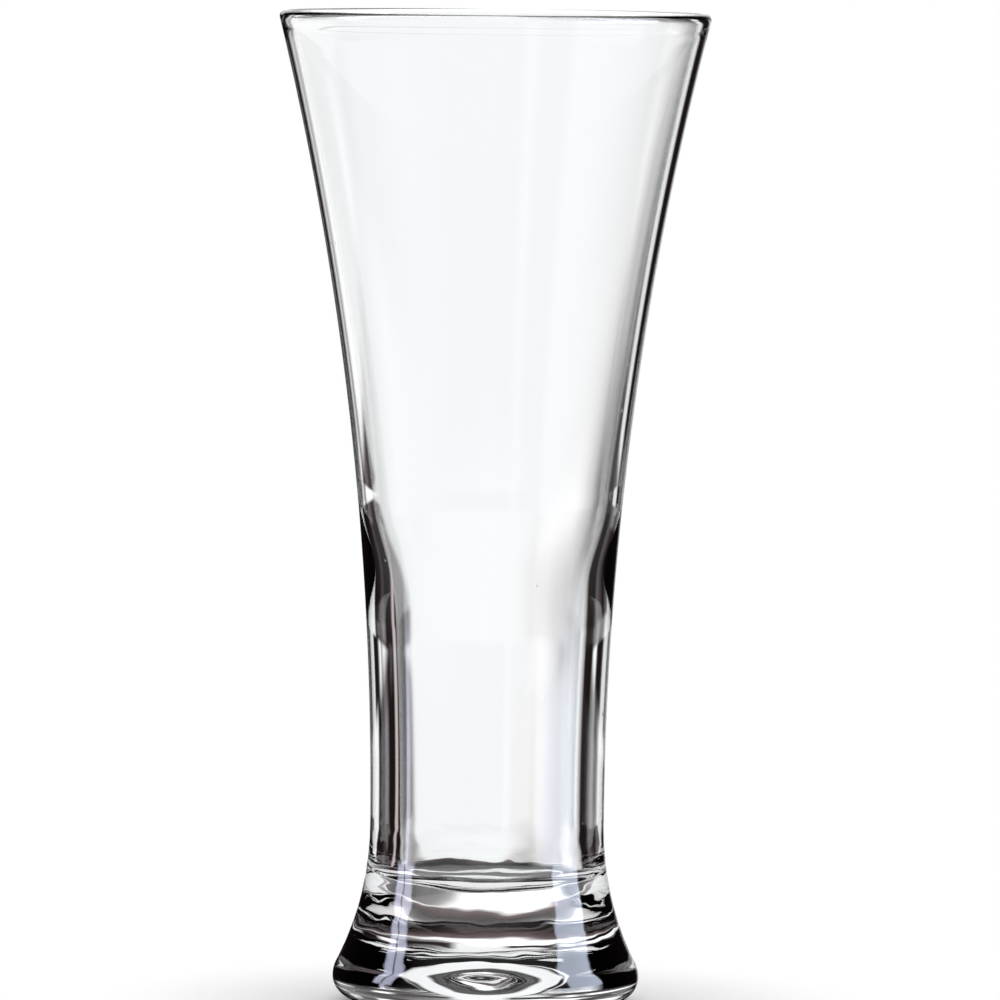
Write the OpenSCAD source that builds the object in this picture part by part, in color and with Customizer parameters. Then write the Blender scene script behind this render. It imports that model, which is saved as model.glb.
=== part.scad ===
// Pilsner glass that holds about 31 cl to the brim: a flared drinking glass with a heavy foot.
// The real object is one piece of glass. It is drawn here in the four zones that a glassmaker
// names, cut by level planes, so that each zone meets the next face to face:
//   rim         the fire-polished lip, a rounded bead that swells a little into the bowl
//   bowl        the thin flared wall
//   lower_wall  the shoulder, where the wall grows inward, and the thick upright wall under it
//   foot        the waist's lower half, the cavity floor, the solid base and its bearing ring
// The axis of the glass is Z, and the bearing ring stands on the plane at zero.

/* [Overall] */
// Height from the table to the top of the rim
glass_h = 184; // [150:1:215]
// Outer diameter across the rim
rim_d = 80; // [72:0.5:92]
// Lean of the wall just under the rim, in degrees from upright
flare_angle = 14; // [10:0.1:17]

/* [Rim] */
// Thickness of the thin wall near the rim
rim_wall = 1.9; // [1.4:0.1:2.6]
// How much the bead adds to the wall, all of it on the inside
bead_extra = 0.35; // [0:0.05:0.8]
// Height over which the bead swells out of the wall
bead_h = 3.2; // [2:0.1:6]

/* [Walls] */
// Thickness of the bowl's wall where it meets the shoulder
shoulder_wall = 2.7; // [2:0.1:3.6]
// Height of the shoulder's middle above the table
shoulder_z = 81; // [74:1:92]
// Height over which the shoulder grows from the thick wall to the thin one
shoulder_h = 30; // [18:1:40]
// Thickness of the wall at the waist
waist_wall = 5.5; // [4.6:0.1:7]

/* [Waist and cavity floor] */
// Outer diameter at the waist, the narrowest place
waist_d = 43.5; // [41:0.5:48]
// Height of the waist above the table
waist_z = 33.5; // [31:0.5:38]
// Height of the lowest point of the cavity floor above the table
floor_z = 19.8; // [16:0.1:23]
// Radius of the wide curve that dishes the floor
floor_curve_r = 40; // [30:1:80]
// Radius of the corner between the floor and the wall
floor_corner_r = 3.5; // [2:0.5:6]

/* [Foot] */
// Outer diameter of the foot at its widest ring
foot_d = 57; // [54:0.2:64]
// Height of the widest ring above the table
foot_ring_z = 4.6; // [3:0.1:6]
// Radius of the rounding above the widest ring
foot_edge_r = 6.2; // [4:0.1:8]
// Lean of the foot's side where its rounding ends, in degrees from upright
foot_lean = 27; // [20:0.5:32]
// How far the rounding under the widest ring reaches inward
foot_under_w = 5.6; // [4:0.1:8]
// Width of the flat bearing ring
bearing_w = 11; // [7:0.2:16]
// Height of the small domed hollow inside the bearing ring
punt_h = 3.8; // [1.5:0.1:6]

/* [Hidden] */

// Straight steps that draw each curve
bowl_steps = 30;
wall_steps = 22;
flare_steps = 12;
arc_steps = 10;
bead_steps = 8;
turn_facets = 128;

// A clear glass with a cool grey cast
glass_tint = [0.86, 0.91, 0.92, 0.55];

rim_r = rim_d / 2;
waist_r = waist_d / 2;
foot_r = foot_d / 2;

// The lip is half a circle set square to the leaning wall. Its outer end is where the flare stops.
lip_wall = rim_wall + bead_extra;
lip_r = lip_wall * cos(flare_angle) / 2;
lip_centre = [rim_r - lip_r, glass_h - lip_r];
lip_out = lip_centre + lip_r * [cos(flare_angle), -sin(flare_angle)];
lip_in = lip_centre - lip_r * [cos(flare_angle), -sin(flare_angle)];

// Level planes that part the zones
rim_z = lip_out.y - bead_h;
shoulder_low_z = shoulder_z - shoulder_h / 2;
shoulder_top_z = shoulder_z + shoulder_h / 2;

// The rounding over the foot's widest ring ends where the flare to the waist starts
foot_side = [
    foot_r - foot_edge_r * (1 - cos(foot_lean)),
    foot_ring_z + foot_edge_r * sin(foot_lean)
];

cavity_r = waist_r - waist_wall;
bearing_out_r = foot_r - foot_under_w;
bearing_in_r = bearing_out_r - bearing_w;

// The corner's centre, where its arc runs into the dished floor without a kink
corner_r = cavity_r - floor_corner_r;
corner_z = floor_z + floor_curve_r - sqrt(pow(floor_curve_r - floor_corner_r, 2) - pow(corner_r, 2));
floor_angle = asin(corner_r / (floor_curve_r - floor_corner_r));

// The hollow under the foot is part of a sphere through the bearing ring's inner edge
punt_r = (pow(bearing_in_r, 2) + pow(punt_h, 2)) / (2 * punt_h);
punt_angle = asin(bearing_in_r / punt_r);

function clamp_share(s) = min(max(s, 0), 1);

// From 0 to 1 and level at both ends
function ease_share(s) = s * s * (3 - 2 * s);

// A curve that starts upright at radius r0 and ends at radius r1, a height away, at a given lean
function flare_r(s, r0, r1, height, lean) =
    r0 + (r1 - r0) * ease_share(s) + height * tan(lean) * s * s * (s - 1);

// Outer radius from the waist to the lip, straight on above the lip's outer end
function bowl_r(z) =
    z > lip_out.y
        ? lip_out.x + (z - lip_out.y) * tan(flare_angle)
        : flare_r((z - waist_z) / (lip_out.y - waist_z), waist_r, lip_out.x,
                  lip_out.y - waist_z, flare_angle);

// Outer radius from the waist down to the foot's rounding
function foot_side_r(z) =
    flare_r((waist_z - z) / (waist_z - foot_side.y), waist_r, foot_side.x,
            waist_z - foot_side.y, foot_lean);

// The thin wall grows slowly from the rim down to the shoulder
function thin_wall(z) =
    let (s = clamp_share((z - shoulder_top_z) / (lip_out.y - shoulder_top_z)))
    rim_wall + (shoulder_wall - rim_wall) * pow(1 - s, 3);

// The bead swells over its height and then keeps its size
function bead(z) = bead_extra * ease_share(clamp_share((z - rim_z) / bead_h));

// The whole wall, measured level, with the shoulder between the thick and the thin part
function wall(z) =
    let (s = ease_share(clamp_share((z - shoulder_low_z) / shoulder_h)))
    waist_wall * (1 - s) + thin_wall(z) * s + bead(z);

function inner_r(z) = bowl_r(z) - wall(z);

// Heights from z0 to z1 in equal steps
function heights(z0, z1, steps) = [for (i = [0 : steps]) z0 + (z1 - z0) * i / steps];

function reversed(list) = [for (i = [len(list) - 1 : -1 : 0]) list[i]];

// Points of an arc with half-axes rx and ry round a centre
function arc(centre, rx, ry, from, to) =
    [for (i = [0 : arc_steps])
        let (a = from + (to - from) * i / arc_steps)
        centre + [rx * cos(a), ry * sin(a)]];

function without_first(list) = [for (i = [1 : len(list) - 1]) list[i]];

function without_last(list) = [for (i = [0 : len(list) - 2]) list[i]];

// A zone of the wall between two level planes
function wall_zone(zs) = concat(
    [for (z = zs) [bowl_r(z), z]],
    [for (z = reversed(zs)) [inner_r(z), z]]
);

module turned(outline) {
    color(glass_tint)
        rotate_extrude($fn = turn_facets)
            polygon(outline);
}

// The rounded lip on its short, swelling piece of wall
module rim() {
    turned(concat(
        [for (z = heights(rim_z, lip_out.y, bead_steps)) [bowl_r(z), z]],
        without_first(arc(lip_centre, lip_r, lip_r, -flare_angle, 180 - flare_angle)),
        without_first([for (z = heights(lip_in.y, rim_z, bead_steps)) [inner_r(z), z]])
    ));
}

// The thin wall, which opens from the shoulder to the rim
module bowl() {
    turned(wall_zone(heights(shoulder_top_z, rim_z, bowl_steps)));
}

// The shoulder inside the glass and the thick wall down to the waist
module lower_wall() {
    turned(wall_zone(concat(
        heights(waist_z, shoulder_low_z, arc_steps),
        without_first(heights(shoulder_low_z, shoulder_top_z, wall_steps))
    )));
}

// The solid foot, hollowed a little underneath, with the dished floor of the cavity on top
module foot() {
    turned(concat(
        without_last(arc([0, punt_h - punt_r], punt_r, punt_r, 90, 90 - punt_angle)),
        [[bearing_in_r, 0]],
        arc([bearing_out_r, foot_ring_z], foot_under_w, foot_ring_z, -90, 0),
        without_first(arc([foot_r - foot_edge_r, foot_ring_z], foot_edge_r, foot_edge_r, 0, foot_lean)),
        without_first([for (z = heights(foot_side.y, waist_z, flare_steps)) [foot_side_r(z), z]]),
        [[cavity_r, waist_z]],
        arc([corner_r, corner_z], floor_corner_r, floor_corner_r, 0, floor_angle - 90),
        without_first(arc([0, floor_z + floor_curve_r], floor_curve_r, floor_curve_r,
                          floor_angle - 90, -90))
    ));
}

rim();
bowl();
lower_wall();
foot();
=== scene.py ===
# %% [markdown]
# # A pilsner glass, turned from one outline and lit against white
# The object is a tall clear beer glass. It is one piece of glass: a thin wall that flares to a
# fire-polished rim, a shoulder on the inside where the wall grows thick, a narrow waist and a
# heavy solid foot. Glass shows almost nothing of itself. What the eye reads is the bent image of
# what stands round it, so this lesson spends its effort on three things: the exact outline of
# both walls, the clear material, and the white and dark fields that the glass bends into lines.

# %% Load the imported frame
import math

import bmesh
import bpy
from mathutils import Matrix, Vector, noise


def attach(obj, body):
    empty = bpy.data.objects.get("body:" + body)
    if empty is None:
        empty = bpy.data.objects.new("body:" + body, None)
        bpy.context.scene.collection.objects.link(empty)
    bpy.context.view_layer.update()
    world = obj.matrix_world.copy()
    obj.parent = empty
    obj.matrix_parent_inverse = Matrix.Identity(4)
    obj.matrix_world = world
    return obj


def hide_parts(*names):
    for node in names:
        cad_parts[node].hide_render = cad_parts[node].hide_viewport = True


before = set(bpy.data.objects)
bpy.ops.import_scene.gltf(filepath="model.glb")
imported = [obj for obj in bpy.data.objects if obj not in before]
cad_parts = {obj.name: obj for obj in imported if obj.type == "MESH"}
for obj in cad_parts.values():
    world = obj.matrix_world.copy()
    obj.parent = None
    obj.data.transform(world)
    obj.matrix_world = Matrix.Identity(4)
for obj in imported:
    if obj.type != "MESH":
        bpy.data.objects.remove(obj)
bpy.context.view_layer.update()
print("packed nodes:", sorted(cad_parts))

# %% [markdown]
# ## Camera
# The glass was seen from nearly two metres away, with the lens a little above the rim and
# pointed down four degrees. A long lens keeps the walls nearly parallel. The glass is round, so
# the camera may stand at any bearing. The bearing chosen here keeps the dark fields of this view
# away from the backgrounds of the plain side views.

# %% Camera
VIEW_BEARING = math.radians(157.5)
VIEW_DISTANCE = 1.8
VIEW_HEIGHT = 0.2125
VIEW_PITCH = math.radians(3.783)
VIEW_YAW = math.radians(0.056)
VIEW_ROLL = math.radians(0.62)
LENS_MM = 349.7
SENSOR_MM = 36.0
CLIP_NEAR, CLIP_FAR = 0.01, 50


def add_camera():
    ahead = Vector((-math.sin(VIEW_BEARING), math.cos(VIEW_BEARING), 0))
    level_right = Vector((ahead.y, -ahead.x, 0))
    place = -ahead * VIEW_DISTANCE + Vector((0, 0, VIEW_HEIGHT))
    aim = ahead * math.cos(VIEW_YAW) + level_right * math.sin(VIEW_YAW)
    look = aim * math.cos(VIEW_PITCH) - Vector((0, 0, math.sin(VIEW_PITCH)))
    right = look.cross(Vector((0, 0, 1))).normalized()
    up = right.cross(look)
    tilted_right = right * math.cos(VIEW_ROLL) + up * math.sin(VIEW_ROLL)
    tilted_up = tilted_right.cross(look)
    turn = Matrix((tilted_right, tilted_up, -look)).transposed().to_4x4()
    lens = bpy.data.cameras.new("camera")
    lens.lens, lens.sensor_width = LENS_MM, SENSOR_MM
    lens.clip_start, lens.clip_end = CLIP_NEAR, CLIP_FAR
    camera = bpy.data.objects.new("camera", lens)
    camera.matrix_world = Matrix.Translation(place) @ turn
    bpy.context.scene.collection.objects.link(camera)
    bpy.context.scene.camera = camera
    return camera


camera = add_camera()
print("camera at", [round(v, 3) for v in camera.location])

# %% [markdown]
# ## Sizes of the glass
# A turned shape needs only its half outline, and a few driving sizes fix it. They are those of
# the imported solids, in metres. The others follow from them: the lip is half a circle set square
# to the leaning wall, and its two ends and the end of the foot's rounding are where the long
# curves of the outline start and stop.

# %% Sizes of the glass, in metres
GLASS_H, RIM_R, FLARE_ANGLE = 0.184, 0.040, math.radians(14)
RIM_WALL, BEAD_EXTRA, BEAD_H = 0.0019, 0.00035, 0.0032
SHOULDER_WALL, SHOULDER_Z, SHOULDER_H = 0.0027, 0.081, 0.030
WAIST_R, WAIST_Z, WAIST_WALL = 0.02175, 0.0335, 0.0055
FLOOR_Z, FLOOR_CURVE_R, FLOOR_CORNER_R = 0.0198, 0.040, 0.0035
FOOT_R, FOOT_RING_Z, FOOT_EDGE_R, FOOT_LEAN = 0.0285, 0.0046, 0.0062, math.radians(27)
FOOT_UNDER_W, BEARING_W, PUNT_H = 0.0056, 0.011, 0.0038

lip_r = (RIM_WALL + BEAD_EXTRA) * math.cos(FLARE_ANGLE) / 2
lip_centre = Vector((RIM_R - lip_r, GLASS_H - lip_r))
lip_square = lip_r * Vector((math.cos(FLARE_ANGLE), -math.sin(FLARE_ANGLE)))
lip_out, lip_in = lip_centre + lip_square, lip_centre - lip_square
bead_z = lip_out.y - BEAD_H
shoulder_low_z, shoulder_top_z = SHOULDER_Z - SHOULDER_H / 2, SHOULDER_Z + SHOULDER_H / 2
foot_side = Vector((FOOT_R - FOOT_EDGE_R * (1 - math.cos(FOOT_LEAN)),
                    FOOT_RING_Z + FOOT_EDGE_R * math.sin(FOOT_LEAN)))
cavity_r = WAIST_R - WAIST_WALL

print("outer end of the lip in mm, across and up:", [round(1000 * v, 2) for v in lip_out])

# %% [markdown]
# ## The outline of the outside
# Above the waist the outside is one cubic that leaves the waist upright and arrives at the rim
# at its lean. Below the waist the same kind of curve opens to the foot, whose edge is an arc
# above the widest ring and part of an ellipse below it. A Bezier curve could be drawn through a
# row of points. A cubic is chosen here because two radii and one angle fix it.


# %% The outside curve
def ease(s):
    s = min(max(s, 0), 1)
    return s * s * (3 - 2 * s)


def flare(s, r0, r1, height, lean):
    return r0 + (r1 - r0) * ease(s) + height * math.tan(lean) * s * s * (s - 1)


def outer_r(z):
    if z > lip_out.y:
        return lip_out.x + (z - lip_out.y) * math.tan(FLARE_ANGLE)
    if z > WAIST_Z:
        height = lip_out.y - WAIST_Z
        return flare((z - WAIST_Z) / height, WAIST_R, lip_out.x, height, FLARE_ANGLE)
    height = WAIST_Z - foot_side.y
    return flare((WAIST_Z - z) / height, WAIST_R, foot_side.x, height, FOOT_LEAN)


print("outer radius in mm at 60, 100 and 150 mm:",
      [round(1000 * outer_r(z), 2) for z in (0.06, 0.10, 0.15)])

# %% [markdown]
# ## The outline of the inside
# The inside follows the outside at the wall's thickness. The thin wall gains a little from the
# rim to the shoulder, the shoulder doubles it, and a small bead thickens the lip. The shoulder
# has the softest of the eases, because the bent light shows where a curvature starts too fast.
# Measuring the wall level, and not square to the outline, keeps both curves functions of height.


# %% The wall
def soft_ease(s):
    s = min(max(s, 0), 1)
    return s * s * s * (s * (6 * s - 15) + 10)


def wall(z):
    thin_share = min(max((z - shoulder_top_z) / (lip_out.y - shoulder_top_z), 0), 1)
    thin = RIM_WALL + (SHOULDER_WALL - RIM_WALL) * (1 - thin_share) ** 3
    s = soft_ease((z - shoulder_low_z) / SHOULDER_H)
    return WAIST_WALL * (1 - s) + thin * s + BEAD_EXTRA * ease((z - bead_z) / BEAD_H)


def inner_r(z):
    return outer_r(z) - wall(z) if z > WAIST_Z else cavity_r


print("wall in mm at 60, 81, 100 and 150 mm:",
      [round(1000 * wall(z), 2) for z in (0.06, 0.081, 0.10, 0.15)])

# %% [markdown]
# ## The foot and the outside of the wall
# The section is drawn in one go, from the axis under the foot round the outside and back inside
# to the axis. Under the foot a shallow hollow, part of a sphere, leaves a flat ring to stand on.
# Small helpers give arcs and stretches of wall as points. Curves that the light crosses at a
# low angle, such as the outside, get the most steps, because a facet there shows as a line.

# %% The outside as points
HOLLOW_STEPS, UNDER_STEPS, EDGE_STEPS, FOOT_SIDE_STEPS = 16, 24, 12, 40
OUTSIDE_STEPS, LIP_STEPS = 120, 16


def levels(z0, z1, steps):
    return [z0 + (z1 - z0) * i / steps for i in range(steps + 1)]


def arc(centre, rx, ry, start, end, steps):
    angles = [math.radians(a) for a in levels(start, end, steps)]
    return [Vector((centre[0] + rx * math.cos(a), centre[1] + ry * math.sin(a))) for a in angles]


def wall_points(radius, z0, z1, steps):
    return [Vector((radius(z), z)) for z in levels(z0, z1, steps)[1:]]


def foot_outline():
    ring_out = FOOT_R - FOOT_UNDER_W
    ring_in = ring_out - BEARING_W
    punt_r = (ring_in ** 2 + PUNT_H ** 2) / (2 * PUNT_H)
    punt_angle = math.degrees(math.asin(ring_in / punt_r))
    foot_lean = math.degrees(FOOT_LEAN)
    points = arc((0, PUNT_H - punt_r), punt_r, punt_r, 90, 90 - punt_angle, HOLLOW_STEPS)
    points += arc((ring_out, FOOT_RING_Z), FOOT_UNDER_W, FOOT_RING_Z, -90, 0, UNDER_STEPS)
    points += arc((FOOT_R - FOOT_EDGE_R, FOOT_RING_Z), FOOT_EDGE_R, FOOT_EDGE_R,
                  0, foot_lean, EDGE_STEPS)[1:]
    return points + wall_points(outer_r, foot_side.y, WAIST_Z, FOOT_SIDE_STEPS)


def bowl_outline():
    lean = math.degrees(FLARE_ANGLE)
    lip = arc(lip_centre, lip_r, lip_r, -lean, 180 - lean, LIP_STEPS)[1:]
    return wall_points(outer_r, WAIST_Z, lip_out.y, OUTSIDE_STEPS) + lip


print("points outside:", len(foot_outline()), "on the foot and", len(bowl_outline()), "above it")

# %% [markdown]
# ## The inside down to the floor of the cavity
# The plunger that presses such a glass leaves a dished floor with a round corner. Two arcs that
# meet without a kink draw it: the corner's centre is set so that both arcs share one normal.
# The section then is closed, so that turning it gives one watertight skin. Glass has to be
# watertight here, because a ray counts the skins that it passes.

# %% The closed half section
INSIDE_STEPS, SHOULDER_STEPS, THICK_WALL_STEPS = 80, 40, 24
CORNER_STEPS, FLOOR_STEPS = 14, 16


def cavity_outline():
    corner = cavity_r - FLOOR_CORNER_R
    reach = FLOOR_CURVE_R - FLOOR_CORNER_R
    corner_z = FLOOR_Z + FLOOR_CURVE_R - math.sqrt(reach ** 2 - corner ** 2)
    floor_angle = math.degrees(math.asin(corner / reach))
    points = wall_points(inner_r, lip_in.y, shoulder_top_z, INSIDE_STEPS)
    points += wall_points(inner_r, shoulder_top_z, shoulder_low_z, SHOULDER_STEPS)
    points += wall_points(inner_r, shoulder_low_z, corner_z, THICK_WALL_STEPS)
    points += arc((corner, corner_z), FLOOR_CORNER_R, FLOOR_CORNER_R,
                  0, floor_angle - 90, CORNER_STEPS)[1:]
    points += arc((0, FLOOR_Z + FLOOR_CURVE_R), FLOOR_CURVE_R, FLOOR_CURVE_R,
                  floor_angle - 90, -90, FLOOR_STEPS)[1:]
    return points


section = foot_outline() + bowl_outline() + cavity_outline()
print("points in the half section:", len(section))

# %% [markdown]
# ## Ripples on the foot
# The skin of a pressed foot is never quite true: where the glass chilled against the mould it
# keeps faint level ripples. They could be a bump in the material, but here they are real shape,
# a few hundredths of a millimetre high, because the bright streaks in the foot come from them.
# Noise that changes fast upward and slowly round the foot gives level waves. A second, finer
# noise breaks them up. They fade out at the foot's edge and a little above the waist.

# %% Ripple of the foot's side
RIPPLE_LOW, RIPPLE_TOP, RIPPLE_HEIGHT = 0.004, 0.038, 0.00006
RIPPLE_FADE_LOW, RIPPLE_FADE_TOP = 0.005, 0.008
RIPPLE_ROUND, RIPPLE_UP = 3.2, 450.0
FINER_RIPPLE, FINER_RIPPLE_SHARE = 2.3, 0.5
CAVITY_CLEARANCE = 0.0005


def ripple(angle, radius, z):
    if not RIPPLE_LOW < z < RIPPLE_TOP or radius < cavity_r + CAVITY_CLEARANCE:
        return 0.0
    fade = ease((RIPPLE_TOP - z) / RIPPLE_FADE_TOP) * ease((z - RIPPLE_LOW) / RIPPLE_FADE_LOW)
    place = Vector((RIPPLE_ROUND * math.cos(angle), RIPPLE_ROUND * math.sin(angle), RIPPLE_UP * z))
    finer = FINER_RIPPLE_SHARE * noise.noise(place * FINER_RIPPLE)
    return RIPPLE_HEIGHT * fade * (noise.noise(place) + finer)


print("ripple in micrometres at 20 mm, on four sides:",
      [round(1e6 * ripple(math.radians(a), outer_r(0.02), 0.02), 1) for a in (0, 90, 180, 270)])

# %% [markdown]
# ## Turning the section
# Blender's Screw modifier could turn the outline, but building the rings in mesh code gives
# direct hold of every ring, and so the foot can have its ripples. Each point of the section
# becomes a ring of corners, a point on the axis becomes one corner, and faces join each ring to
# the next. With 240 corners to a ring the facets are too small to see, and the mesh stays under
# two hundred thousand triangles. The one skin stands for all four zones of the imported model.

# %% Turn it into one skin
TURNS = 240
AXIS_R = 1e-7


def add_ring(skin, point):
    if point.x < AXIS_R:
        return [skin.verts.new((0, 0, point.y))]
    ring = []
    for i in range(TURNS):
        a = 2 * math.pi * i / TURNS
        r = point.x + ripple(a, point.x, point.y)
        ring.append(skin.verts.new((r * math.cos(a), r * math.sin(a), point.y)))
    return ring


def turned_skin(name, points):
    skin = bmesh.new()
    rings = [add_ring(skin, point) for point in points]
    for ring, after in zip(rings, rings[1:]):
        for i in range(TURNS):
            j = (i + 1) % TURNS
            corners = [ring[i % len(ring)], ring[j % len(ring)],
                       after[j % len(after)], after[i % len(after)]]
            skin.faces.new(list(dict.fromkeys(corners)))
    bmesh.ops.recalc_face_normals(skin, faces=skin.faces)
    mesh = bpy.data.meshes.new(name)
    skin.to_mesh(mesh)
    skin.free()
    mesh.shade_smooth()
    piece = bpy.data.objects.new(name, mesh)
    bpy.context.scene.collection.objects.link(piece)
    return piece


glass = turned_skin("glass_body", section)
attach(glass, "root")
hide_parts("rim", "bowl", "lower_wall", "foot")
print("glass faces:", len(glass.data.polygons))

# %% [markdown]
# ## Noise, seeds and bumps
# Glass without faults looks like a formula. Blown and pressed walls swell and thin by microns,
# mostly along the pull of the glass, a few tiny seeds of air stay in it, and washing leaves
# hair-fine scratches that show in the gloss alone. An image could hold these marks. Noise
# textures on the object's own coordinates need none and have no seam. The helpers here give a
# stretched place, a noise on it, a bump, and a change from one range of numbers to another.


# %% Helpers for the glass
def stretched_place(nodes, links, stretch):
    place = nodes.new("ShaderNodeTexCoord")
    mapping = nodes.new("ShaderNodeMapping")
    mapping.inputs["Scale"].default_value = stretch
    links.new(place.outputs["Object"], mapping.inputs["Vector"])
    return mapping.outputs["Vector"]


def noise_node(nodes, links, scale, stretch):
    node = nodes.new("ShaderNodeTexNoise")
    node.inputs["Scale"].default_value = scale
    links.new(stretched_place(nodes, links, stretch), node.inputs["Vector"])
    return node


def bump_node(nodes, links, height, strength, distance, normal=None):
    bump = nodes.new("ShaderNodeBump")
    bump.inputs["Strength"].default_value = strength
    bump.inputs["Distance"].default_value = distance
    links.new(height, bump.inputs["Height"])
    if normal:
        links.new(normal, bump.inputs["Normal"])
    return bump.outputs["Normal"]


def map_node(nodes, links, value, from_min, from_max, to_min, to_max):
    node = nodes.new("ShaderNodeMapRange")
    for name, number in (("From Min", from_min), ("From Max", from_max),
                         ("To Min", to_min), ("To Max", to_max)):
        node.inputs[name].default_value = number
    links.new(value, node.inputs["Value"])
    return node.outputs["Result"]


print("glass body spans in mm:", [round(1000 * s, 1) for s in glass.dimensions])

# %% [markdown]
# ## Clear glass
# Soda-lime glass has an index of 1.52 and is nearly without colour: iron in the sand leaves a
# trace of cool green that only thick glass shows. A Principled shader with full transmission is
# both the honest and the portable choice. The wave is the bump of the wall, the seeds are a
# second bump on top of it, the scratches raise the roughness a little where they run, and the
# wave also sways the tint between two near-white greens.

# %% Clear glass
GLASS_IOR = 1.52
WAVE_SCALE, WAVE_DETAIL, WAVE_STRETCH = 26.0, 1.0, (1.0, 1.0, 0.22)
WAVE_STRENGTH, WAVE_DEPTH = 0.05, 0.002
SEED_SCALE, SEED_SIZE, SEED_STRENGTH, SEED_DEPTH = 90.0, 0.035, 0.4, 0.0001
SCRATCH_SCALE, SCRATCH_WARP, SCRATCH_STRETCH = 240.0, 2.0, (1, 1, 0.08)
SCRATCH_START, SCRATCH_FULL, SCRATCH_ROUGHNESS = 0.62, 0.8, 0.02
TINT_DIP = (0.985, 0.995, 0.992, 1)
TINT_CREST = (0.992, 0.995, 0.99, 1)


def clear_glass():
    material = bpy.data.materials.new("clear_glass")
    material.use_nodes = True
    nodes, links = material.node_tree.nodes, material.node_tree.links
    surface = nodes["Principled BSDF"]
    surface.inputs["Roughness"].default_value = 0.0
    surface.inputs["IOR"].default_value = GLASS_IOR
    surface.inputs["Transmission Weight"].default_value = 1.0
    wave = noise_node(nodes, links, WAVE_SCALE, WAVE_STRETCH)
    wave.inputs["Detail"].default_value = WAVE_DETAIL
    seeds = nodes.new("ShaderNodeTexVoronoi")
    seeds.inputs["Scale"].default_value = SEED_SCALE
    links.new(stretched_place(nodes, links, (1, 1, 1)), seeds.inputs["Vector"])
    seed = map_node(nodes, links, seeds.outputs["Distance"], 0, SEED_SIZE, 1, 0)
    waved = bump_node(nodes, links, wave.outputs["Fac"], WAVE_STRENGTH, WAVE_DEPTH)
    seeded = bump_node(nodes, links, seed, SEED_STRENGTH, SEED_DEPTH, waved)
    links.new(seeded, surface.inputs["Normal"])
    scratch = noise_node(nodes, links, SCRATCH_SCALE, SCRATCH_STRETCH)
    scratch.inputs["Distortion"].default_value = SCRATCH_WARP
    haze = map_node(nodes, links, scratch.outputs["Fac"],
                    SCRATCH_START, SCRATCH_FULL, 0, SCRATCH_ROUGHNESS)
    links.new(haze, surface.inputs["Roughness"])
    tint = nodes.new("ShaderNodeMix")
    tint.data_type = "RGBA"
    tint.inputs["A"].default_value = TINT_DIP
    tint.inputs["B"].default_value = TINT_CREST
    links.new(wave.outputs["Fac"], tint.inputs["Factor"])
    links.new(tint.outputs["Result"], surface.inputs["Base Color"])
    return material


glass.data.materials.append(clear_glass())
print("nodes in the glass:", len(glass.active_material.node_tree.nodes))

# %% [markdown]
# ## Helpers for the floor and the table
# Both the floor and the table that the glass sees are flat discs that belong to the stage, not
# to the object. Both need to know how far a place lies from the axis of the glass, which the
# length of the object's own coordinates tells.

# %% Discs and distance
DISC_SIDES = 128


def new_disc(name, radius, height, material):
    mesh = bpy.data.meshes.new(name)
    disc = bmesh.new()
    bmesh.ops.create_circle(disc, cap_ends=True, segments=DISC_SIDES, radius=radius)
    disc.to_mesh(mesh)
    disc.free()
    mesh.materials.append(material)
    item = bpy.data.objects.new(name, mesh)
    item.location.z = height
    bpy.context.scene.collection.objects.link(item)
    return item


def new_material(name):
    material = bpy.data.materials.new(name)
    material.use_nodes = True
    material.node_tree.nodes.clear()
    return material, material.node_tree.nodes, material.node_tree.links


def distance_from_axis(nodes, links):
    place = nodes.new("ShaderNodeTexCoord")
    length = nodes.new("ShaderNodeVectorMath")
    length.operation = "LENGTH"
    links.new(place.outputs["Object"], length.inputs[0])
    return length.outputs["Value"]


print("a disc of", DISC_SIDES, "sides keeps its edge within",
      round(100 * (1 - math.cos(math.pi / DISC_SIDES)), 3), "percent of a circle")

# %% [markdown]
# ## Floor
# The floor is plain and pale. Near the glass it is matt, so that it takes the soft shadow of the
# foot. Further out it fades into plain white, and so it has no horizon. Rays that come out of
# the glass don't see it, because they have a table of their own.

# %% Floor
FLOOR_SPAN = 0.6
FLOOR_DROP = 0.0002
FLOOR_GREY = 0.94
SHADOW_REACH = (0.031, 0.075)


def add_floor():
    material, nodes, links = new_material("pale_floor")
    out = nodes.new("ShaderNodeOutputMaterial")
    mix = nodes.new("ShaderNodeMixShader")
    matt = nodes.new("ShaderNodeBsdfDiffuse")
    matt.inputs["Color"].default_value = (FLOOR_GREY, FLOOR_GREY, FLOOR_GREY, 1)
    white = nodes.new("ShaderNodeEmission")
    fade = nodes.new("ShaderNodeMapRange")
    fade.interpolation_type = "SMOOTHSTEP"
    fade.inputs["From Min"].default_value = SHADOW_REACH[0]
    fade.inputs["From Max"].default_value = SHADOW_REACH[1]
    links.new(distance_from_axis(nodes, links), fade.inputs["Value"])
    links.new(fade.outputs["Result"], mix.inputs["Fac"])
    links.new(matt.outputs["BSDF"], mix.inputs[1])
    links.new(white.outputs["Emission"], mix.inputs[2])
    links.new(mix.outputs["Shader"], out.inputs["Surface"])
    floor = new_disc("floor", FLOOR_SPAN, -FLOOR_DROP, material)
    floor.visible_transmission = False
    floor.visible_glossy = False
    return floor


print("floor across in m:", round(add_floor().dimensions.x, 2))

# %% [markdown]
# ## What the glass bends
# A studio shows clear glass by bright field: a white sheet lies behind it, and dark flags stand
# at both sides, so that the curved edges bend black lines out of them. Sheets and lamps could be
# built as objects, but a table that knows where a ray lands on it is exact and free of noise.
# The light of the fields is of few kinds: white, the brighter sheet, the black of the flags, the
# mauve and pinkish cast of their edges, and a grey with a faint cast for all that lies between.

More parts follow.
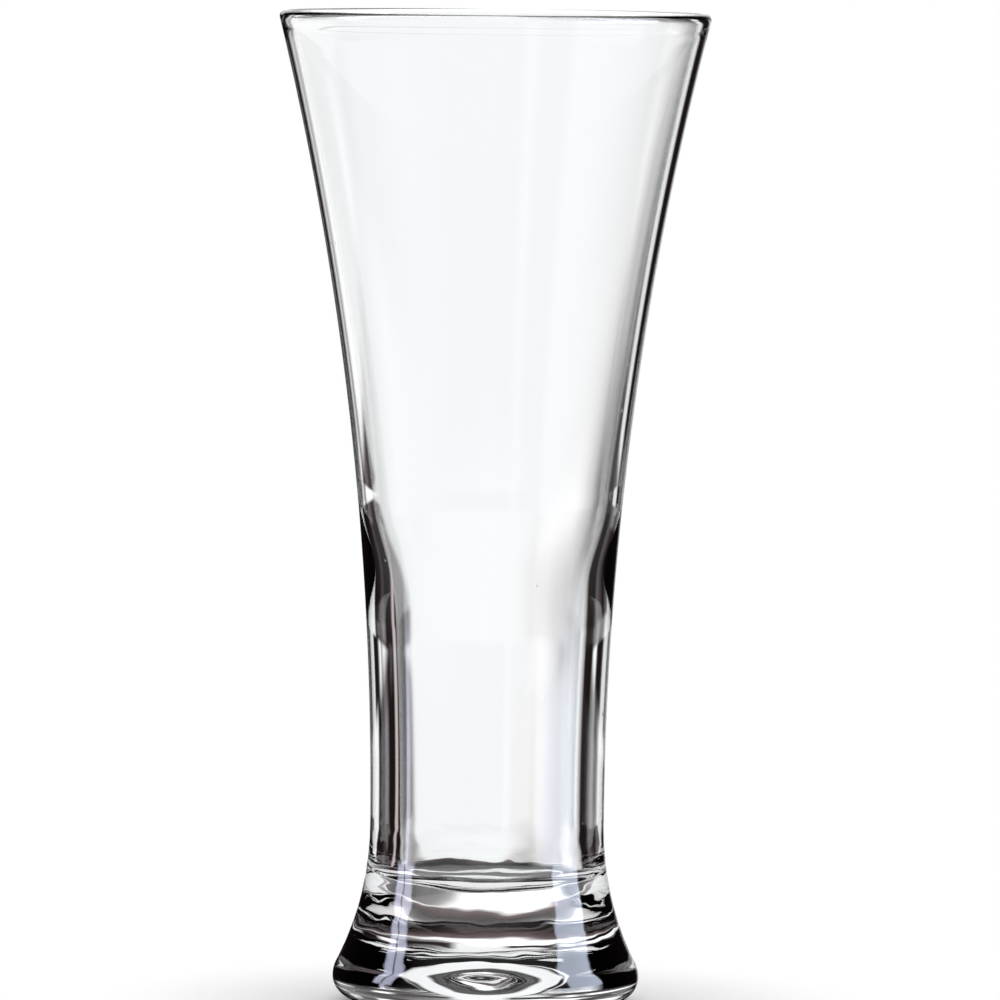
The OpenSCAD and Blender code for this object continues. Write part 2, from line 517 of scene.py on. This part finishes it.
# %% Colours of the fields
WHITE = (0.970, 0.983, 0.995)
SHEET = (1.3, 1.31, 1.31)
BLACK = (0.012, 0.008, 0.008)
MAUVE = (0.09, 0.065, 0.08)
PINKISH = (0.62, 0.53, 0.53)
MAUVE_GREY = (0.24, 0.2, 0.22)
GREY_CAST = (1, 0.97, 0.98)


def grey(level):
    return tuple(level * part for part in GREY_CAST)


print("a grey of a half:", grey(0.5))

# %% [markdown]
# ## Fields for the rays that stayed in the wall
# A place on the table has a bearing, in degrees to the left of the view, and a distance from the
# glass. A row lists the light along the bearings, all the way round, and becomes a colour ramp,
# which holds 32 stops at most. Rays that passed the wall alone were bent hard, and they draw the
# dark edges of the bowl and the bands of the foot. They get three rows: for the table near the
# glass, for its middle, and for its far part.

# %% Rows for the wall
WALL_NEAR = [
    (-180, WHITE), (-155, WHITE), (-135, BLACK), (-128, WHITE), (-97, WHITE), (-88, BLACK),
    (-72, grey(0.4)), (-61, grey(0.8)), (-56, grey(0.4)), (-53, BLACK), (-40, BLACK),
    (-35, grey(0.14)), (-28, MAUVE), (-18, BLACK), (-6, grey(0.3)), (-3, SHEET), (13, SHEET),
    (16, BLACK), (31, BLACK), (36, MAUVE), (42, BLACK), (53, BLACK), (56, PINKISH),
    (58, PINKISH), (60, BLACK), (75, BLACK), (95, grey(0.7)), (140, grey(0.9)), (179.9, WHITE),
]
WALL_MIDDLE = [
    (-180, MAUVE), (-166, BLACK), (-159, WHITE), (-152, BLACK), (-138, BLACK), (-132, WHITE),
    (-84, grey(0.2)), (-66, BLACK), (-63, WHITE), (-59, grey(0.8)), (-55, grey(0.4)),
    (-52, BLACK), (-40, BLACK), (-36, grey(0.1)), (-28, grey(0.38)), (-20, grey(0.12)),
    (-12, grey(0.5)), (-7, SHEET), (12, SHEET), (16, BLACK), (30, BLACK), (36, MAUVE_GREY),
    (40, MAUVE), (43, BLACK), (54, BLACK), (56, PINKISH), (59, PINKISH), (61, BLACK),
    (72, BLACK), (88, WHITE), (150, MAUVE), (179.9, MAUVE),
]
WALL_FAR = [
    (-180, MAUVE), (-166, BLACK), (-159, WHITE), (-152, BLACK), (-138, BLACK), (-132, WHITE),
    (-94, WHITE), (-88, BLACK), (-74, BLACK), (-68, WHITE), (-60, WHITE), (-52, grey(0.6)),
    (-48, BLACK), (-38, BLACK), (-35, WHITE), (-30, SHEET), (-26, BLACK), (-10, BLACK),
    (-7, WHITE), (4, WHITE), (7, BLACK), (18, BLACK), (22, grey(0.6)), (24.5, SHEET),
    (27, grey(0.7)), (29, grey(0.35)), (31, grey(0.7)), (34, SHEET), (75, SHEET), (87, MAUVE),
    (179.9, MAUVE),
]

print("stops in the wall's rows:", [len(row) for row in (WALL_NEAR, WALL_MIDDLE, WALL_FAR)])

# %% [markdown]
# ## Fields for the rays that crossed the cavity
# Rays through the whole glass go in and out of both walls. Ahead of the view they meet the white
# sheet, and at both sides of it the flags, which draw the grey flanks beside the clear middle.

# %% Rows for the cavity
CAVITY_NEAR = [
    (-180, WHITE), (-54, WHITE), (-48, grey(0.7)), (-37, grey(0.35)), (-18, grey(0.3)),
    (-13, grey(0.42)), (-9.6, grey(0.6)), (-6, grey(0.9)), (-3, WHITE), (19, WHITE),
    (23, grey(0.4)), (30, grey(0.3)), (36, grey(0.2)), (42, grey(0.4)), (47, WHITE),
    (179.9, WHITE),
]
CAVITY_MIDDLE = [
    (-180, WHITE), (-54, WHITE), (-48, grey(0.7)), (-37, grey(0.3)), (-31, grey(0.15)),
    (-24, grey(0.1)), (-18, grey(0.28)), (-13, grey(0.4)), (-9.6, grey(0.6)), (-6, grey(0.94)),
    (-3, WHITE), (18, WHITE), (20, grey(0.7)), (21.5, grey(0.2)), (23, BLACK), (27, grey(0.1)),
    (32, grey(0.05)), (37, grey(0.1)), (46, grey(0.4)), (48, WHITE), (179.9, WHITE),
]
CAVITY_FAR = [
    (-180, WHITE), (-50, WHITE), (-47, BLACK), (-19, grey(0.08)), (-16, grey(0.15)),
    (-14, grey(0.35)), (-12, grey(0.52)), (-10, grey(0.66)), (-8, grey(0.85)), (-5, WHITE),
    (29, WHITE), (32, BLACK), (46, BLACK), (49, WHITE), (179.9, WHITE),
]

print("stops in the cavity's rows:", [len(row) for row in (CAVITY_NEAR, CAVITY_MIDDLE, CAVITY_FAR)])

# %% [markdown]
# ## From a row to light
# A colour ramp holds colours up to 1, and a sheet or a lamp is brighter than that. So a row is
# divided by its brightest number, and that number becomes the strength of the light. The light
# is an emission on the table and a background in the world, so its kind is passed on. A bearing
# runs from -180 to 180 degrees, and its place on the ramp runs from 0 to 1.


# %% Ramps of light
def fill_ramp(ramp, stops):
    peak = max(max(colour) for _, colour in stops)
    elements = ramp.color_ramp.elements
    while len(elements) > 1:
        elements.remove(elements[-1])
    for k, (share, colour) in enumerate(stops):
        element = elements[0] if k == 0 else elements.new(share)
        element.position = share
        element.color = (*(c / peak for c in colour), 1)
    return peak


def ramp_light(nodes, links, kind, share, stops):
    ramp = nodes.new("ShaderNodeValToRGB")
    light = nodes.new(kind)
    light.inputs["Strength"].default_value = fill_ramp(ramp, stops)
    links.new(share, ramp.inputs["Fac"])
    links.new(ramp.outputs["Color"], light.inputs["Color"])
    return light.outputs[0]


def ramp_place(bearing):
    return 0.5 + bearing / 360


def bearing_light(nodes, links, kind, share, stops):
    return ramp_light(nodes, links, kind, share, [(ramp_place(b), c) for b, c in stops])


def plain_light(nodes, kind, colour):
    light = nodes.new(kind)
    light.inputs["Color"].default_value = (*colour, 1)
    return light.outputs[0]


print("a bearing of 90 degrees to the left lies at", ramp_place(90), "of a ramp")

# %% [markdown]
# ## Mixing lights
# `math_node` joins two numbers, and `blend_light` mixes two lights by a share. `band_share` goes
# softly from 0 to 1 while a number goes from the first end of a band to the second, also where
# the band runs downward, and it eases as the foot's curve does. A group of nodes could hold
# these, but plain functions are easier to read.


# %% Numbers and blends
def math_node(nodes, links, operation, first, second=None):
    node = nodes.new("ShaderNodeMath")
    node.operation = operation
    for socket, value in zip(node.inputs, (first, second)):
        if isinstance(value, (int, float)):
            socket.default_value = value
        elif value is not None:
            links.new(value, socket)
    return node.outputs["Value"]


def blend_light(nodes, links, share, first, second):
    mix = nodes.new("ShaderNodeMixShader")
    links.new(share, mix.inputs["Fac"])
    links.new(first, mix.inputs[1])
    links.new(second, mix.inputs[2])
    return mix.outputs["Shader"]


def band_share(nodes, links, value, start, end):
    share = nodes.new("ShaderNodeMapRange")
    share.interpolation_type = "SMOOTHSTEP"
    share.inputs["From Min"].default_value = min(start, end)
    share.inputs["From Max"].default_value = max(start, end)
    share.inputs["To Min"].default_value = 0 if start < end else 1
    share.inputs["To Max"].default_value = 1 if start < end else 0
    links.new(value, share.inputs["Value"])
    return share.outputs["Result"]


print("share at a quarter and a half of a band:", ease(0.25), ease(0.5))

# %% [markdown]
# ## Where a ray goes, and what it passed
# `turned_to_view` turns a place or a direction to the main view and gives its bearing to the
# left and its height. That bearing belongs to the scene, and no node asks where the camera
# stands, so the fields stay put when the camera moves. A ray through the wall alone passes two
# skins of glass, and one that crosses the cavity passes four. `crossed_cavity` and
# `stayed_in_wall` read that count.

# %% Bearing and skins
CAVITY_SKINS = 4


def turned_to_view(nodes, links, place):
    turn = nodes.new("ShaderNodeVectorRotate")
    turn.rotation_type = "Z_AXIS"
    turn.inputs["Angle"].default_value = -VIEW_BEARING
    split = nodes.new("ShaderNodeSeparateXYZ")
    links.new(place, turn.inputs["Vector"])
    links.new(turn.outputs["Vector"], split.inputs[0])
    left = math_node(nodes, links, "MULTIPLY", split.outputs["X"], -1)
    return math_node(nodes, links, "ARCTAN2", left, split.outputs["Y"]), split.outputs["Z"]


def full_turn_share(nodes, links, bearing):
    turns = math_node(nodes, links, "DIVIDE", bearing, 2 * math.pi)
    return math_node(nodes, links, "ADD", turns, 0.5)


def skins_passed(nodes):
    return nodes.new("ShaderNodeLightPath").outputs["Transmission Depth"]


def crossed_cavity(nodes, links):
    return math_node(nodes, links, "GREATER_THAN", skins_passed(nodes), CAVITY_SKINS - 1)


def stayed_in_wall(nodes, links):
    return math_node(nodes, links, "LESS_THAN", skins_passed(nodes), CAVITY_SKINS)


print("the main view looks along", round(math.degrees(VIEW_BEARING), 1), "degrees from +Y")

# %% [markdown]
# ## The glass's own shade on the table
# Close to the foot the table lies in the shade of the glass, so a row by distance keeps it
# nearly black there. Two kinds of rays still find it lit. Rays that go straight down through the
# wall land inside the foot's print. Rays that come from high up, as when the glass is seen from
# above, have fallen far. Both would draw a black disc in a top view if the shade held for them.

# %% Shade round the foot
UNDER_FOOT = [
    (0.0, (0.001, 0.001, 0.001)), (0.0400, (0.004, 0.001, 0.001)), (0.0415, (0.05, 0.03, 0.03)),
    (0.0450, (0.15, 0.11, 0.12)), (0.0480, (1.1, 1.1, 1.08)),
]
SHADE_SPAN = UNDER_FOOT[-1][0]
FOOT_PRINT = 0.0235
LONG_FALL = 0.06
LIT_TABLE = 0.9


def foot_shade(nodes, links, distance):
    kind = "ShaderNodeEmission"
    share = math_node(nodes, links, "DIVIDE", distance, SHADE_SPAN)
    shade = ramp_light(nodes, links, kind, share, [(r / SHADE_SPAN, c) for r, c in UNDER_FOOT])
    in_print = math_node(nodes, links, "LESS_THAN", distance, FOOT_PRINT)
    straight_down = math_node(nodes, links, "MULTIPLY", stayed_in_wall(nodes, links), in_print)
    fall = nodes.new("ShaderNodeLightPath").outputs["Ray Length"]
    fallen_far = math_node(nodes, links, "GREATER_THAN", fall, LONG_FALL)
    lit = math_node(nodes, links, "MAXIMUM", straight_down, fallen_far)
    return blend_light(nodes, links, lit, shade, plain_light(nodes, kind, grey(LIT_TABLE)))


print("the shade reaches to", 1000 * SHADE_SPAN, "mm from the axis")

# %% [markdown]
# ## The table as the glass sees it
# The three rows of the wall and the three rows of the cavity blend into each other with
# distance. Beyond the shade the skins passed choose between wall and cavity. Only rays that have
# passed through glass see this table. The camera and the shadows keep to the plain floor.

# %% Table seen through glass
TABLE_REACH = 3.0
TABLE_DROP = 0.0001
WALL_BANDS = ((0.27, 0.33), (0.55, 0.63))
CAVITY_BANDS = ((0.30, 0.36), (0.62, 0.72))


def three_rows(nodes, links, share, distance, rows, bands):
    light, *further_out = [bearing_light(nodes, links, "ShaderNodeEmission", share, stops)
                           for stops in rows]
    for band, further in zip(bands, further_out):
        light = blend_light(nodes, links, band_share(nodes, links, distance, *band), light, further)
    return light


def add_seen_table():
    material, nodes, links = new_material("seen_table")
    out = nodes.new("ShaderNodeOutputMaterial")
    place = nodes.new("ShaderNodeTexCoord")
    bearing, _ = turned_to_view(nodes, links, place.outputs["Object"])
    share = full_turn_share(nodes, links, bearing)
    distance = distance_from_axis(nodes, links)
    wall_rows = WALL_NEAR, WALL_MIDDLE, WALL_FAR
    cavity_rows = CAVITY_NEAR, CAVITY_MIDDLE, CAVITY_FAR
    wall_light = three_rows(nodes, links, share, distance, wall_rows, WALL_BANDS)
    cavity_light = three_rows(nodes, links, share, distance, cavity_rows, CAVITY_BANDS)
    open_table = blend_light(nodes, links, crossed_cavity(nodes, links), wall_light, cavity_light)
    beyond = math_node(nodes, links, "GREATER_THAN", distance, SHADE_SPAN)
    shade = foot_shade(nodes, links, distance)
    links.new(blend_light(nodes, links, beyond, shade, open_table), out.inputs["Surface"])
    table = new_disc("seen_table", TABLE_REACH, -TABLE_DROP, material)
    table.visible_camera = False
    table.visible_diffuse = False
    table.visible_glossy = False
    table.visible_shadow = False
    return table


print("table across in m:", round(add_seen_table().dimensions.x, 2))

# %% [markdown]
# ## Lamps in the mirror of the skin
# Glass mirrors a few percent of the light at each skin. Two tall lamps stand at the sides, many
# times brighter than white, and draw a bright strip down each flank. Area lights could be these
# lamps, but they would also light the floor. In rows for mirrored rays alone they light nothing
# else, and each can have the soft or hard edge that its strip shows.

# %% Mirrored rows
RIGHT_LAMP = (7.4, 8.2, 10.0)
RIGHT_CORE = (9.0, 9.6, 10.6)
RIGHT_LINE = (13.0, 13.4, 14.6)
RIGHT_EDGE = (5.0, 5.6, 6.4)
LEFT_LAMP = (7.4, 7.6, 9.8)
MIRRORED_HIGH = [
    (-180, grey(0.5)), (-135, grey(0.4)), (-114, grey(0.3)), (-112, RIGHT_LAMP),
    (-82, RIGHT_LAMP), (-80, BLACK), (-20, BLACK), (-4, WHITE), (18, WHITE), (20, BLACK),
    (85, BLACK), (87, LEFT_LAMP), (93, LEFT_LAMP), (93.5, WHITE), (94.5, WHITE),
    (95, LEFT_LAMP), (103, LEFT_LAMP), (105, BLACK), (130, grey(0.3)), (179.9, grey(0.5)),
]
MIRRORED = [
    (-180, WHITE), (-150, WHITE), (-136, grey(2.5)), (-129, grey(8.0)), (-122, RIGHT_CORE),
    (-106, RIGHT_CORE), (-100, RIGHT_LINE), (-94, RIGHT_LINE), (-86, RIGHT_EDGE), (-80, BLACK),
    (-20, BLACK), (-4, WHITE), (3, WHITE), (8, BLACK), (92.5, BLACK), (94, LEFT_LAMP),
    (97, LEFT_LAMP), (98, grey(4.5)), (100, grey(2.0)), (103, BLACK), (130, grey(0.6)),
    (179.9, WHITE),
]
MIRRORED_BOWL = [
    (-180, WHITE), (-140, WHITE), (-126, grey(5.5)), (-100, grey(6.0)), (-86, grey(2.0)),
    (-78, grey(0.5)), (-42, grey(0.8)), (-25, BLACK), (20, BLACK), (36, WHITE), (179.9, WHITE),
]
MIRRORED_LOW = [
    (-180, WHITE), (-42, WHITE), (-25, BLACK), (20, BLACK), (36, WHITE), (179.9, WHITE),
]

print("brightest lamp, times white:", max(max(colour) for _, colour in MIRRORED))

# %% [markdown]
# ## One mirrored row for each height
# The height of a mirrored ray picks its row. `MIRRORED` serves the rays near level, and
# `MIRRORED_HIGH` those that go up. Rays that sink a little come from the lean of the bowl and
# see one fainter lamp, and low rays meet the white table. Light that was mirrored inside the
# glass and came out again sees plain white, or the lamps would flash in the bowl.

# %% Mirrored light
LEVEL_BAND = (-0.13, -0.20)
LOW_BAND = (-0.19, -0.25)
HIGH_BAND = (0.02, 0.10)
OTHER_HEIGHTS = ((LEVEL_BAND, MIRRORED_BOWL), (LOW_BAND, MIRRORED_LOW), (HIGH_BAND, MIRRORED_HIGH))


def mirrored_light(nodes, links, kind, share, height, plain):
    light = bearing_light(nodes, links, kind, share, MIRRORED)
    for band, stops in OTHER_HEIGHTS:
        row = bearing_light(nodes, links, kind, share, stops)
        light = blend_light(nodes, links, band_share(nodes, links, height, *band), light, row)
    inside = math_node(nodes, links, "GREATER_THAN", skins_passed(nodes), 0)
    return blend_light(nodes, links, inside, light, plain)


print("mirrored rows beside the level one:", len(OTHER_HEIGHTS))

# %% [markdown]
# ## Beyond the table
# Rays through the glass that miss the table see its far rows go on. Higher up a row of its own
# holds the flags and the sheet as they stand there, and overhead the ceiling is dark, as that of
# a studio is. Each of the two takes over softly along a band of heights.

# %% Light through the glass
UPWARD = [
    (-180, WHITE), (-120, WHITE), (-90, grey(0.3)), (-50, BLACK), (-24, MAUVE),
    (-15, grey(0.25)), (-8, WHITE), (16, WHITE), (20, BLACK), (45, BLACK), (75, grey(0.4)),
    (110, WHITE), (179.9, WHITE),
]
UPWARD_BAND = (0.12, 0.22)
CEILING_BAND = (0.66, 0.76)
CEILING_GREY = 0.03


def light_through(nodes, links, kind, share, height):
    wall_light = bearing_light(nodes, links, kind, share, WALL_FAR)
    cavity_light = bearing_light(nodes, links, kind, share, CAVITY_FAR)
    light = blend_light(nodes, links, crossed_cavity(nodes, links), wall_light, cavity_light)
    for band, above in ((UPWARD_BAND, bearing_light(nodes, links, kind, share, UPWARD)),
                        (CEILING_BAND, plain_light(nodes, kind, grey(CEILING_GREY)))):
        light = blend_light(nodes, links, band_share(nodes, links, height, *band), light, above)
    return light


print("stops in the row above the table:", len(UPWARD))

# %% [markdown]
# ## The world
# The world joins these lights by the kind of ray that meets it. A ray that came through glass
# gets the light through the glass, and a ray that a skin mirrored gets the mirrored light. All
# other rays see plain white at strength 1, and so the background is white and the floor is lit
# evenly. Lamps as objects would do the same, with more noise and with edges to hide.


# %% Surround
def add_surround():
    world = bpy.data.worlds.new("surround")
    world.use_nodes = True
    bpy.context.scene.world = world
    nodes, links = world.node_tree.nodes, world.node_tree.links
    nodes.clear()
    kind = "ShaderNodeBackground"
    place = nodes.new("ShaderNodeTexCoord")
    path = nodes.new("ShaderNodeLightPath")
    bearing, height = turned_to_view(nodes, links, place.outputs["Generated"])
    share = full_turn_share(nodes, links, bearing)
    plain = plain_light(nodes, kind, (1, 1, 1))
    mirrored = mirrored_light(nodes, links, kind, share, height, plain)
    through = light_through(nodes, links, kind, share, height)
    shine = blend_light(nodes, links, path.outputs["Is Glossy Ray"], plain, mirrored)
    whole = blend_light(nodes, links, path.outputs["Is Transmission Ray"], shine, through)
    out = nodes.new("ShaderNodeOutputWorld")
    links.new(whole, out.inputs["Surface"])
    return world


print("nodes in the world:", len(add_surround().node_tree.nodes))

# %% [markdown]
# ## Finish
# The Standard view shows colours as they were written.

# %% Finish
bpy.context.scene.view_settings.view_transform = "Standard"
